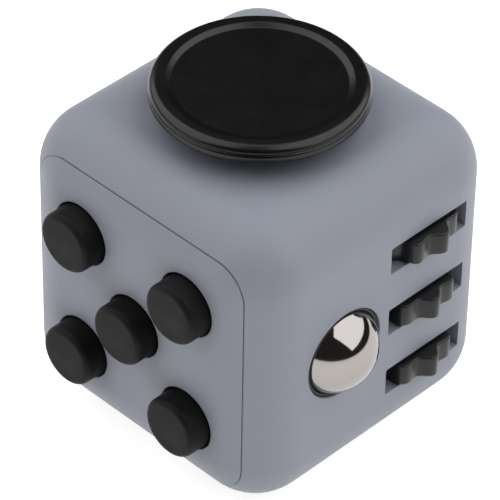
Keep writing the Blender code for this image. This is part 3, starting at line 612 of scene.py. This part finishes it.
def build_disc():
    """The sliding disc: a pad with a rolled rim over a tapered flange."""
    under = FACE + 0.6 * MM
    bore_r = SPIGOT_R + GAP
    flange = [
        (bore_r, DISC_FLANGE_Z, 0),
        (DISC_FLANGE_R, DISC_FLANGE_Z, 0.45 * MM),
        (DISC_FLANGE_R, FACE + 2.35 * MM, 0.35 * MM),
        (DISC_FLANGE_R - 0.9 * MM, FACE + 1.75 * MM, 0.5 * MM),
        (6.5 * MM, under, 0.3 * MM),
        (STEM_R, under, 0.3 * MM),
        (STEM_R, STEM_END, 0),
        (bore_r, STEM_END, 0),
    ]
    dress(smooth(lathe("disc_flange", rounded(flange), segments=160)), "glide_flange", "black_soft_plastic")
    base = DISC_FLANGE_Z + GAP
    centre_top = PAD_TOP - 0.25 * MM
    round_r = 0.8 * MM
    round_z = PAD_TOP - round_r
    side = math.asin((base - round_z) / round_r)
    steps = 12
    pad = rounded([
        (0, centre_top, 0),
        (PAD_RIM_R, centre_top, 0.5 * MM),
        (PAD_RIM_R + 0.6 * MM, PAD_TOP, 0.5 * MM),
        (PAD_R - round_r, PAD_TOP, 0),
    ], 8)[:-1]
    for k in range(steps + 1):
        angle = math.pi / 2 + (side - math.pi / 2) * k / steps
        pad.append((PAD_R - round_r + round_r * math.cos(angle), round_z + round_r * math.sin(angle)))
    pad += [
        (SPIGOT_R, base), (SPIGOT_R, SPIGOT_END), (SCREW_HOLE_R, SPIGOT_END),
        (SCREW_HOLE_R, GLIDE_SCREW_END), (0, GLIDE_SCREW_END),
    ]
    dress(smooth(lathe("disc_pad", pad, segments=192)), "glide_pad", "black_soft_plastic")


def build_dial():
    """The spinning dial with its finger dimple."""
    top = FACE + DIAL_OUT
    shaft_end = BACK_WALL - 0.15 * MM
    profile = [
        (0, top - 0.5 * MM, 0),
        (DIAL_R - 2.0 * MM, top - 0.5 * MM, 0.15 * MM),
        (DIAL_R - 1.6 * MM, top, 0.25 * MM),
        (DIAL_R, top, 0.8 * MM),
        (DIAL_R, FACE - 0.3 * MM, 0.1 * MM),
        (DIAL_SHAFT_R, FACE - 0.3 * MM, 0),
        (DIAL_SHAFT_R, shaft_end, 0),
        (SCREW_HOLE_R, shaft_end, 0),
        (SCREW_HOLE_R, 16.5 * MM, 0),
        (0, 16.5 * MM, 0),
    ]
    dial = lathe("dial_cap", rounded(profile, 8), "back", segments=144)
    bm = bmesh.new()
    bmesh.ops.create_uvsphere(bm, u_segments=96, v_segments=64, radius=3.2 * MM)
    combine(dial, [place("cut_dimple", bm, (0, top + 1.7 * MM, 4.2 * MM))])
    dress(smooth(dial), "spin_dial", "black_plastic")


def build_rocker():
    """The two-position rocker, with rounded edges and a soft valley between its two faces."""
    turn = Matrix.Rotation(ROCKER_TILT, 4, "Y") @ Matrix.Rotation(-math.pi / 2, 4, "Y")
    where = (-PIVOT, 0, 0)
    middle = 2.95 * MM
    end = middle + ROCKER_HALF * math.tan(ROCKER_TILT)
    corners = [
        (-ROCKER_HALF, end, 0.5 * MM), (0, middle, 3.0 * MM), (ROCKER_HALF, end, 0.5 * MM),
        (ROCKER_HALF, 2.6 * MM, 0.2 * MM), (2.2 * MM, -0.9 * MM, 0.2 * MM), (-2.2 * MM, -0.9 * MM, 0.2 * MM),
        (-ROCKER_HALF, 2.6 * MM, 0.2 * MM),
    ]
    outline = rounded(corners, 8)
    bm = bmesh.new()
    face = bm.faces.new([bm.verts.new((x, -ROCKER_WIDE, z)) for x, z in outline])
    side = bmesh.ops.extrude_face_region(bm, geom=[face])
    moved = [v for v in side["geom"] if isinstance(v, bmesh.types.BMVert)]
    bmesh.ops.translate(bm, verts=moved, vec=(0, 2 * ROCKER_WIDE, 0))
    rims = [e for e in bm.edges if abs(e.verts[0].co.y - e.verts[1].co.y) < 1e-9]
    bmesh.ops.bevel(bm, geom=rims, offset=0.18 * MM, segments=4, profile=0.5, affect="EDGES")
    rocker = place("rocker_paddle", bm, where, turn)
    stem = rod("add_rocker_stem", ROCKER_STEM_R, -4.2 * MM, -0.3 * MM, where=where, turn=turn)
    bore = rod("cut_rocker_stem", ROCKER_BORE_R, -5 * MM, -1.3 * MM, where=where, turn=turn)
    pin_hole = rod("cut_rocker_pin", PIN_R + 0.12 * MM, -4 * MM, 4 * MM, "front", where)
    combine(rocker, [stem], "UNION")
    dress(smooth(combine(rocker, [bore, pin_hole])), "flip_rocker", "black_plastic")


# ---------------------------------------------------------------- carried-over CAD pieces

INNER_SLOTS = {
    "plain_steel": (
        "wheel_axle", "ratchet_spring", "ball_spring", "glide_spring", "rocker_pin", "rocker_plunger",
        "rocker_spring", "dial_washer", "snap_dome_centre", "snap_dome_top_left", "snap_dome_bottom_right",
        "plate_screw_1", "plate_screw_2", "plate_screw_3", "plate_screw_4", "keeper_screw_1",
        "keeper_screw_2", "holder_screw_1", "holder_screw_2", "glide_screw", "base_screw_1", "base_screw_2",
        "bracket_screw_1", "bracket_screw_2", "dial_screw",
    ),
    "inner_plastic": (
        "click_plate", "wheel_keeper", "ball_cup", "glide_slider", "glide_frame",
        "glide_base", "rocker_bracket",
    ),
    "silicone": ("quiet_dome_top_right", "quiet_dome_bottom_left"),
}


def finish_inner_pieces():
    """The pieces inside keep their CAD shapes and take the procedural finishes."""
    for slot, names in INNER_SLOTS.items():
        for name in names:
            piece = frame["nodes"][name]
            piece.data.materials.clear()
            piece.data.materials.append(FINISHES[slot])


# ---------------------------------------------------------------- floor, lights, camera

FLOOR_REACH = 3.0
FLOOR_COLOUR = (0.62, 0.61, 0.60)
FLOOR_GLOW_COLOUR = (1.0, 0.985, 0.97)
FLOOR_GLOW = 0.74
ROOM_COLOUR = (0.034, 0.030, 0.028)
SOFTBOX_DISTANCE = 0.6
SOFTBOX_WIDE = 1.79 * SOFTBOX_DISTANCE
SOFTBOX_HIGH = 1.39 * SOFTBOX_DISTANCE
SOFTBOX_ELEVATION = math.radians(40.0)
KEY_AZIMUTH = math.radians(48.4)
KEY_SHIFT = (-0.07, 0.25)
KEY_RADIANCE = 2.0
LEFT_AZIMUTH = math.radians(-148.0)
LEFT_SHIFT = (0.0, 0.25)
LEFT_RADIANCE = 1.7
CAMERA_DISTANCE = 367.685 * MM
CAMERA_AZIMUTH = math.radians(-45.8480)
CAMERA_ELEVATION = math.radians(40.1947)
CAMERA_ROLL = math.radians(1.1657)
CAMERA_LENS = 274.37
CAMERA_SENSOR = 36.0
CAMERA_SHIFT = (-0.01363, -0.00495)


def build_floor():
    """A plain pale floor, lit a little from within so that it reads as a white studio sweep."""
    bm = bmesh.new()
    bmesh.ops.create_grid(bm, x_segments=1, y_segments=1, size=FLOOR_REACH)
    floor = place("studio_floor", bm, (0, 0, -FACE))
    paper = bpy.data.materials.new("studio_paper")
    paper.use_nodes = True
    shader = paper.node_tree.nodes["Principled BSDF"]
    shader.inputs["Base Color"].default_value = (*FLOOR_COLOUR, 1)
    shader.inputs["Roughness"].default_value = 0.9
    shader.inputs["Specular IOR Level"].default_value = 0.1
    shader.inputs["Emission Color"].default_value = (*FLOOR_GLOW_COLOUR, 1)
    shader.inputs["Emission Strength"].default_value = FLOOR_GLOW
    floor.data.materials.append(paper)


def link_facing_centre(name, data, azimuth, elevation, distance, shift=(0, 0), roll=0.0):
    """Links a light or camera that faces the cube's centre, moved sideways and up by shift times distance."""
    made = bpy.data.objects.new(name, data)
    turn = (Matrix.Rotation(azimuth + math.pi / 2, 4, "Z") @ Matrix.Rotation(math.pi / 2 - elevation, 4, "X")
            @ Matrix.Rotation(roll, 4, "Z"))
    away = Matrix.Translation(distance * Vector((*shift, 1)))
    made.matrix_world = Matrix.Translation(CENTRE) @ turn @ away
    bpy.context.scene.collection.objects.link(made)
    return made


def soft_light(name, azimuth, radiance, shift):
    """A rectangular softbox, SOFTBOX_DISTANCE away."""
    light = bpy.data.lights.new(name, "AREA")
    light.shape = "RECTANGLE"
    light.size = SOFTBOX_WIDE
    light.size_y = SOFTBOX_HIGH
    light.energy = radiance * math.pi * light.size * light.size_y
    link_facing_centre(name, light, azimuth, SOFTBOX_ELEVATION, SOFTBOX_DISTANCE, shift)


def light_scene():
    """Two big softboxes, one at the back right and one at the left, in a dim warm room."""
    soft_light("key_softbox", KEY_AZIMUTH, KEY_RADIANCE, KEY_SHIFT)
    soft_light("left_softbox", LEFT_AZIMUTH, LEFT_RADIANCE, LEFT_SHIFT)
    world = bpy.data.worlds.new("studio_room")
    bpy.context.scene.world = world
    world.use_nodes = True
    background = world.node_tree.nodes["Background"]
    background.inputs["Color"].default_value = (*ROOM_COLOUR, 1)
    background.inputs["Strength"].default_value = 1.0
    bpy.context.scene.view_settings.view_transform = "Standard"


def aim_camera():
    """The camera: a long lens from high on the front right corner."""
    camera = bpy.data.cameras.new("studio_camera")
    camera.lens = CAMERA_LENS
    camera.sensor_width = CAMERA_SENSOR
    camera.shift_x, camera.shift_y = CAMERA_SHIFT
    camera.clip_start = 0.01
    camera.clip_end = 10.0
    bpy.context.scene.camera = link_facing_centre(
        "studio_camera", camera, CAMERA_AZIMUTH, CAMERA_ELEVATION, CAMERA_DISTANCE, roll=CAMERA_ROLL)


build_housing()
build_lid()
build_buttons()
build_wheels()
build_ball()
build_ball_holder()
build_disc()
build_dial()
build_rocker()
finish_inner_pieces()
build_floor()
light_scene()
aim_camera()
